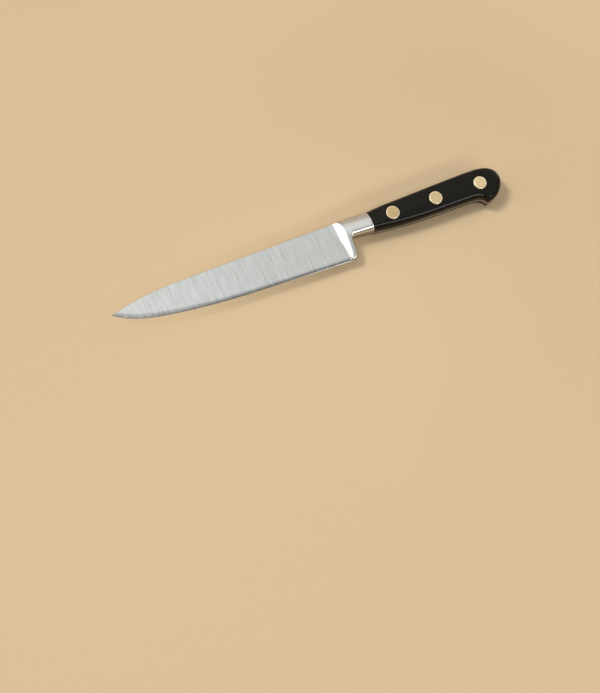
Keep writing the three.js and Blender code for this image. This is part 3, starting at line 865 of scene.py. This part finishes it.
def colours(tree, value, low, high, start=NOISE_LOW, end=NOISE_HIGH):
    """Map a value from its range between start and end to a colour between two."""
    ramp = add(tree, "ValToRGB", {"Fac": value})
    first, last = ramp.color_ramp.elements
    first.position, last.position = start, end
    first.color, last.color = (*low, 1), (*high, 1)
    return ramp.outputs["Color"]


def mix(tree, share, first, second):
    """Colour between two, by a share."""
    return add(tree, "Mix", {0: share, 6: first, 7: second}, data_type="RGBA").outputs[2]


def along_knife(tree, start, end):
    """Share of the way between two places on the knife's length, given in knife millimetres."""
    place = add(tree, "TexCoord").outputs["Object"]
    x = add(tree, "SeparateXYZ", {"Vector": place}).outputs["X"]
    first, last = (KNIFE_ORIGIN[0] + stop * MM for stop in (start, end))
    return spread(tree, x, low=0.0, high=1.0, start=first, end=last)


def dress(tree, shader, colour, roughness, bump, depth, **values):
    """Wire colour, roughness and bump height into the shader and set its plain values."""
    normal = add(tree, "Bump", {"Height": bump, "Strength": 1.0, "Distance": depth}).outputs["Normal"]
    for socket, source in {"Base Color": colour, "Roughness": roughness, "Normal": normal}.items():
        tree.links.new(source, shader.inputs[socket])
    for socket, value in values.items():
        shader.inputs[socket.replace("_", " ")].default_value = value


def finish(name, build):
    """A material whose principled shader is set up by build(tree, shader)."""
    material = bpy.data.materials.new(name)
    material.use_nodes = True
    tree = material.node_tree
    build(tree, tree.nodes["Principled BSDF"])
    print(f"{name}: {len(tree.nodes)} nodes")
    return material


# %% [markdown]
# The blade is ground across, from spine to edge, and leans a little. Three layers of lines, coarse to
# fine, keep it lively from afar and close by. Along the edge runs the honed strip, painted dark with a
# ragged upper limit: a painted reflection. Towards the heel the edge itself carries a painted highlight,
# a bright line. Both follow the distance from the cutting edge, which the mesh carries as an attribute,
# in millimetres.

# %% Brushed steel of the blade
GRIND_LEAN = (0, 0, -0.09)
EDGE_GAP = "edge_gap"
RAGGEDNESS = 1.2  # of the honed strip's limit
HONED_PAINTED_REFLECTION, KEEN_PAINTED_HIGHLIGHT = (0.085, 0.085, 0.08, 1), (0.75, 0.76, 0.745, 1)
KEEN_HIGHLIGHT_RUN = (95.0, 140.0)  # the painted highlight along the edge comes up along this


def brushed_steel(tree, shader):
    """Cross-brushed blade: coarse to fine lines from spine to edge, a painted dark reflection on the honed
    strip and a painted highlight along the edge towards the heel.
    """
    coarse = noise(tree, scale=(330, 40, 40), detail=2.0, turn=GRIND_LEAN)
    middle = noise(tree, scale=(2200, 75, 75), detail=1.0, turn=GRIND_LEAN)
    fine = noise(tree, scale=(3500, 100, 100), detail=1.0, turn=GRIND_LEAN)
    lines = blend(tree, blend(tree, coarse, middle, share=0.86), fine, share=0.55)
    gap = add(tree, "Attribute", attribute_name=EDGE_GAP).outputs["Fac"]
    ragged = add(tree, "Math", {0: middle, 1: RAGGEDNESS, 2: gap}, operation="MULTIPLY_ADD").outputs[0]
    # Painted reflection: the honed strip is coloured dark, up to a ragged limit
    honed = spread(tree, ragged, low=1.0, high=0.0, start=0.5, end=3.3)
    near_edge = spread(tree, gap, low=1.0, high=0.0, start=0.13, end=0.19)
    # Painted highlight: a bright line along the cutting edge, coming up towards the heel
    keen = product(tree, near_edge, along_knife(tree, *KEEN_HIGHLIGHT_RUN))
    plain = colours(tree, lines, low=(0.452, 0.461, 0.453), high=(0.688, 0.70, 0.686))
    colour = mix(tree, keen, mix(tree, honed, plain, HONED_PAINTED_REFLECTION), KEEN_PAINTED_HIGHLIGHT)
    roughness = spread(tree, lines, low=0.285, high=0.315)
    dress(tree, shader, colour, roughness, bump=fine, depth=0.0000008, Metallic=1.0)


steel_brushed = finish("steel_brushed", brushed_steel)

# %% [markdown]
# Guard, ramp and neck are buffed: faint lines along the knife with soft cloudy wear, and a lower
# roughness, so that they mirror the lamps. The edge of the tang stays as it was filed, with short lines
# across the strip; its darker, warmer tone is painted shade, which also darkens the walls under guard
# and neck and the upper edge behind the blade.


# %% Polished steel, and satin steel with painted shade
def polished_steel(tree, shader):
    """Buffed guard and neck: faint lines along the knife and soft cloudy wear."""
    lines = blend(tree, noise(tree, scale=(90, 2600, 2600)), noise(tree, scale=(150, 150, 150)), share=0.35)
    colour = colours(tree, lines, low=(0.605, 0.604, 0.595), high=(0.66, 0.659, 0.65))
    roughness = spread(tree, lines, low=0.20, high=0.26)
    dress(tree, shader, colour, roughness, bump=lines, depth=0.0000008, Metallic=1.0)


def satin_steel_with_painted_shade(tree, shader):
    """Edge of the tang, left as filed with short lines across the strip; its darker, warmer tone is painted
    shade, also used on the walls under guard and neck.
    """
    lines = blend(tree, noise(tree, scale=(900, 900, 5000)), noise(tree, scale=(200, 200, 200)), share=0.4)
    colour = colours(tree, lines, low=(0.29, 0.27, 0.243), high=(0.39, 0.37, 0.343))
    roughness = spread(tree, lines, low=0.32, high=0.44)
    dress(tree, shader, colour, roughness, bump=lines, depth=0.000003, Metallic=1.0)


steel_polished = finish("steel_polished", polished_steel)
steel_satin_painted_shade = finish("steel_satin_painted_shade", satin_steel_with_painted_shade)

# %% [markdown]
# The scales are moulded from black resin. A pure black would look like a hole in the picture, so the
# skin has a warm trace of colour, fine grain and slight mottling, and a low, soft gloss.


# %% Black resin of the scales
def black_resin(tree, shader):
    """Moulded black resin: a satin skin with fine grain and slight mottling."""
    grain = noise(tree, scale=(2600, 3000, 3000), detail=4.0)
    both = blend(tree, grain, noise(tree, scale=(140, 200, 200)), share=0.45)
    colour = colours(tree, both, low=(0.0042, 0.0036, 0.0020), high=(0.0078, 0.0066, 0.0040))
    roughness = spread(tree, both, low=0.16, high=0.22)
    dress(tree, shader, colour, roughness, bump=grain, depth=0.0000015, Specular_IOR_Level=0.19)


resin_black = finish("resin_black", black_resin)

# %% [markdown]
# The rivet heads were sanded flush along the knife, so their lines run that way. The front head is a
# little darker than the rear one, and the tone changes slowly along the handle. The chamfer round each
# head is painted paler as a painted highlight.


# %% Sanded brass of the rivets, and a painted highlight on their rims
def sanded_brass(tree, shader):
    """Sanded brass: lines along the knife over a pale yellow, darker towards the front."""
    lines = noise(tree, scale=(260, 4200, 4200))
    both = blend(tree, lines, noise(tree, scale=(700, 700, 700)), share=0.4)
    front_tone = colours(tree, both, low=(0.56, 0.405, 0.195), high=(0.67, 0.505, 0.26))
    rear_tone = colours(tree, both, low=(0.75, 0.60, 0.335), high=(0.88, 0.735, 0.45))
    colour = mix(tree, along_knife(tree, RIVET_X["front"], RIVET_X["rear"]), front_tone, rear_tone)
    roughness = spread(tree, both, low=0.28, high=0.40)
    dress(tree, shader, colour, roughness, bump=lines, depth=0.000004, Metallic=1.0)


def rim_brass_painted_highlight(tree, shader):
    """Rim of a rivet head, painted pale as a painted highlight on its chamfer."""
    cloud = noise(tree, scale=(900, 900, 900))
    colour = colours(tree, cloud, low=(0.95, 0.81, 0.53), high=(0.99, 0.89, 0.64))
    roughness = spread(tree, cloud, low=0.30, high=0.42)
    dress(tree, shader, colour, roughness, bump=cloud, depth=0.000002, Metallic=1.0)


brass_sanded = finish("brass_sanded", sanded_brass)
brass_rim_painted_highlight = finish("brass_rim_painted_highlight", rim_brass_painted_highlight)

# %% [markdown]
# The forging has three finishes on one mesh. Each face takes its own from where its centre lies: in
# front of the ramp the blade is brushed, the rest is polished, except for the edge of the tang, the
# walls under guard and neck and the upper edge behind the blade: these take the darker satin steel,
# whose tone is painted shade. The distance from the cutting edge is stored on the vertices; it is
# divided by the honed strip's flare, so that the strip widens towards the point.

# %% Hand the finishes out
RAMP_BLEND = 1.15  # the brushing runs on over the ramp's soft foot by this
GUARD_SHADE_REACH, NECK_SHADE_REACH, SPINE_SHADE_REACH = 0.12, 0.42, 0.25  # reach of the painted shade from each outline
HONED_FLARE = 0.45
RIM_SLACK = 0.02
RIM_START, RIM_DEPTH = HEAD_RADIUS - RIM - RIM_SLACK, 2 * RIM_DROP


def knife_places(items, field):
    """Places of a mesh's faces or vertices, in knife millimetres."""
    places = np.empty(len(items) * 3)
    items.foreach_get(field, places)
    return ((places.reshape(-1, 3) - KNIFE_ORIGIN) / MM).T


def set_finishes(piece, finishes, zones):
    """Give the piece its list of finishes and each face the number of its own."""
    piece.data.materials.clear()
    for material in finishes:
        piece.data.materials.append(material)
    piece.data.polygons.foreach_set("material_index", zones.astype(np.int32))


centre_x, centre_y = knife_places(forging.data.polygons, "center")[:2]
on_blade = centre_x < ramp_start_x(centre_y) + RAMP_BLEND
on_tang = centre_x > NECK_END_X + SEAT_GAP / 2
from_wall = distance_to(guard_outline, centre_x[None], centre_y[None])[0]
# Walls and upper edge whose faces take the satin steel's painted shade, beside the filed tang
wall_for_shade = from_wall < lerp(GUARD_SHADE_REACH, NECK_SHADE_REACH, round_notch(centre_x, centre_y))
tang_and_shaded_walls = on_tang | wall_for_shade | (TOP_Y - centre_y < SPINE_SHADE_REACH)
steel_finishes = [steel_brushed, steel_polished, steel_satin_painted_shade]
set_finishes(forging, steel_finishes, np.where(on_blade, 0, np.where(tang_and_shaded_walls, 2, 1)))

place_x, place_y = knife_places(forging.data.vertices, "co")[:2]
flare = 1 + HONED_FLARE * late_curve(place_x, BLADE_LENGTH)
edge_gap = forging.data.attributes.new(EDGE_GAP, "FLOAT", "POINT")
edge_gap.data.foreach_set("value", ((place_y - edge_y(place_x)) / flare).astype(np.float32))

for scale in scales.values():
    set_finishes(scale, [resin_black], np.zeros(len(scale.data.polygons)))
for node, rivet in rivets.items():
    x, y, z = knife_places(rivet.data.polygons, "center")
    out = np.hypot(x - RIVET_X[node.split("_")[0]], y)
    # The chamfer round each head takes the painted highlight
    on_rim = (out > RIM_START) & (np.abs(z) > HALF_HANDLE - RIM_DEPTH)
    set_finishes(rivet, [brass_sanded, brass_rim_painted_highlight], np.where(on_rim, 1, 0))
print(f"{on_blade.sum()} brushed faces, {tang_and_shaded_walls.sum()} filed ones")

# %% [markdown]
# Each piece now rides on the knife's one rigid body and stands in for the imported node it replaces,
# which is hidden.

# %% Tie the pieces to the imported model
standing = [(forging, "blade_and_tang", "steel"), (scales[1], "upper_scale", "black_resin"),
            (scales[-1], "lower_scale", "black_resin")]
standing += [(rivet, node, "brass") for node, rivet in rivets.items()]
for piece, node, slot in standing:
    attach(piece, "root")
    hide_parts(node)
print(f"{len(standing)} pieces tied to the packed model")

# %% [markdown]
# The table is one plain, pale plane. The blade hangs over it by half of the handle's thickness and
# would throw a wide shadow. So the paint mixes in even light, only for rays that the camera or a mirror
# sends out, and more of it the further from the handle: the shadow is whole under the handle and fades
# along the blade.

# %% Table
FLOOR_SIZE = 6.0
FLOOR_COLOUR, FLOOR_ROUGHNESS = (0.64, 0.477, 0.288), 0.8
FLOOR_LIGHT = 1.11  # strength of the even light
EVEN_MOST = 0.9  # the most that it takes of the paint
SHADOW_PLACE = (0.085, -0.012, 0.0)  # under the handle
FAR_START, FAR_END = 0.06, 0.18  # distances from there at which the even light begins and is full
floor_corners = np.array([(-1, -1), (1, -1), (1, 1), (-1, 1)]) * FLOOR_SIZE / 2
floor_mesh = bpy.data.meshes.new("table")
floor_mesh.from_pydata([(x, y, 0.0) for x, y in floor_corners], [], [(0, 1, 2, 3)])
floor = bpy.data.objects.new("table", floor_mesh)
bpy.context.scene.collection.objects.link(floor)


def seen_rays(tree):
    """One for rays that the camera or a mirror sends out, zero for those that carry light."""
    rays = add(tree, "LightPath").outputs
    either = {0: rays["Is Camera Ray"], 1: rays["Is Glossy Ray"]}
    return add(tree, "Math", either, operation="MAXIMUM").outputs[0]


def table_paint(tree, shader):
    """Plain paint; far from the handle, camera and mirrors see most of it in even light."""
    shader.inputs["Base Color"].default_value = (*FLOOR_COLOUR, 1)
    shader.inputs["Roughness"].default_value = FLOOR_ROUGHNESS
    place = add(tree, "TexCoord").outputs["Object"]
    distance = add(tree, "VectorMath", {0: place, 1: SHADOW_PLACE}, operation="DISTANCE").outputs["Value"]
    far = spread(tree, distance, low=0.0, high=EVEN_MOST, start=FAR_START, end=FAR_END)
    even = add(tree, "Emission", {"Color": (*FLOOR_COLOUR, 1), "Strength": FLOOR_LIGHT}).outputs[0]
    layers = {0: product(tree, far, seen_rays(tree)), 1: shader.outputs[0], 2: even}
    painted = add(tree, "MixShader", layers).outputs[0]
    tree.links.new(painted, tree.nodes["Material Output"].inputs["Surface"])


floor_mesh.materials.append(finish("table_paint", table_paint))

# %% [markdown]
# Steel shows its lamps, so each lamp has a job. The key has a narrow beam from behind on the left and
# throws the handle's shadow. A soft lamp near the camera lights the blade's side. A softbox on the left
# is the white of the ramp, those behind and on the right shape neck and handle, and a cool strip in
# front draws the thin highlights along the lower edges.

# %% Lamps
WARM_WHITE, PLAIN_WHITE, COOL_WHITE = (1.0, 0.995, 0.985), (1.0, 1.0, 0.99), (0.90, 0.96, 1.0)
LAMPS = {
    "key": dict(place=(-0.55, 0.50, 1.00), aim=(0.42, -0.2, 0), size=(0.35, 0.35),
                power=1.30, colour=WARM_WHITE, opening=56),
    "softbox_blade": dict(place=(-0.22, -0.26, 0.66), aim=(-0.40, -0.05, 0), size=(0.22, 0.22),
                          power=0.95, colour=WARM_WHITE, opening=104),
    "softbox_behind": dict(place=(-0.10, 0.60, 1.20), aim=(0, 0, 0), size=(1.5, 1.2),
                           power=2.0, colour=PLAIN_WHITE),
    "softbox_left": dict(place=(-1.10, 0.30, 0.40), aim=(0, 0, 0.1), size=(0.9, 0.75),
                         power=3.6, colour=WARM_WHITE),
    "softbox_right": dict(place=(1.00, 0.45, 0.55), aim=(0.1, 0, 0), size=(0.70, 0.42),
                          power=2.4, colour=PLAIN_WHITE),
    "strip_front": dict(place=(0.46, -0.85, 0.70), aim=(0.05, 0, 0), size=(1.0, 0.19),
                        power=4.6, colour=COOL_WHITE),
}


def soft_light(name, place, aim, size, power, colour, opening=180):
    """A rectangular area light at place that faces aim; a smaller opening narrows its beam."""
    light = bpy.data.lights.new(name, "AREA")
    light.shape, light.size, light.size_y = "RECTANGLE", *size
    light.energy, light.color, light.spread = power, colour, math.radians(opening)
    lamp = bpy.data.objects.new(name, light)
    lamp.location = place
    lamp.rotation_euler = (Vector(aim) - Vector(place)).to_track_quat("-Z", "Y").to_euler()
    bpy.context.scene.collection.objects.link(lamp)


for name, settings in LAMPS.items():
    soft_light(name, **settings)
print(f"{len(LAMPS)} lamps")

# %% [markdown]
# The sky fills what the lamps leave. It is brown in front, pale at the back and grey overhead, where
# the blade's side mirrors it. Rays that only carry light find it weaker, which keeps the shadow, and
# the camera itself sees a plain pale backdrop.

# %% Sky
FRONT, BACK = (0.34, 0.25, 0.17), (0.66, 0.58, 0.49)
OVERHEAD_LEFT, OVERHEAD_RIGHT = (0.645, 0.665, 0.66), (0.62, 0.62, 0.61)
OVERHEAD_PLACE = (0.12, 0.1, 0.98)
OVERHEAD_START, OVERHEAD_END = 0.77, 0.905  # cosines of the angle from the overhead place
LEFT_X, RIGHT_X = 0.08, 0.30  # where its left tone ends and its right tone begins
FRONT_Y, BACK_Y = -0.5, 0.5
LIGHT_SKY = 0.2  # strength for rays that carry light
BACKDROP = (0.74, 0.61, 0.47)
world = bpy.data.worlds.new("studio")
bpy.context.scene.world = world
world.use_nodes = True
sky = world.node_tree
direction = add(sky, "TexCoord").outputs["Generated"]
parts = add(sky, "SeparateXYZ", {"Vector": direction}).outputs
back_share = spread(sky, parts["Y"], low=0.0, high=1.0, start=FRONT_Y, end=BACK_Y)
low_sky = colours(sky, back_share, FRONT, BACK, start=0.0, end=1.0)
high_sky = colours(sky, parts["X"], OVERHEAD_LEFT, OVERHEAD_RIGHT, start=LEFT_X, end=RIGHT_X)
toward = {0: direction, 1: Vector(OVERHEAD_PLACE).normalized()}
cosine = add(sky, "VectorMath", toward, operation="DOT_PRODUCT").outputs["Value"]
overhead = spread(sky, cosine, low=0.0, high=1.0, start=OVERHEAD_START, end=OVERHEAD_END)
sky_colour = mix(sky, overhead, low_sky, high_sky)
seen_colour = mix(sky, add(sky, "LightPath").outputs["Is Camera Ray"], sky_colour, (*BACKDROP, 1))
strength = spread(sky, seen_rays(sky), low=LIGHT_SKY, high=1.0, start=0.0, end=1.0)
background = sky.nodes["Background"].inputs
sky.links.new(seen_colour, background["Color"])
sky.links.new(strength, background["Strength"])
print(f"sky: {len(sky.nodes)} nodes")

# %% [markdown]
# The camera looks down on the table from the photo's angle, rolled about its own axis so that the
# knife runs from the lower left to the upper right of the picture.

# %% Camera
CAMERA_PLACE = Vector((-0.16895, -0.17195, 0.5795))
CAMERA_AIM = Vector((-0.03169, -0.05289, 0.0))
CAMERA_ROLL = 27.59  # degrees
FOCAL_PIXELS, PICTURE_HEIGHT = 1000.0, 693.0
SENSOR = 36.0
NEAREST = 0.01
lens = bpy.data.cameras.new("camera")
lens.sensor_width = SENSOR
lens.lens = FOCAL_PIXELS / PICTURE_HEIGHT * SENSOR
lens.clip_start = NEAREST
camera = bpy.data.objects.new("camera", lens)
facing = (CAMERA_AIM - CAMERA_PLACE).to_track_quat("-Z", "Y").to_matrix()
camera.rotation_euler = (facing @ Matrix.Rotation(math.radians(CAMERA_ROLL), 3, "Z")).to_euler()
camera.location = CAMERA_PLACE
bpy.context.scene.collection.objects.link(camera)
bpy.context.scene.camera = camera
bpy.context.scene.view_settings.view_transform = "Standard"
print(f"lens of {lens.lens:.1f} mm")
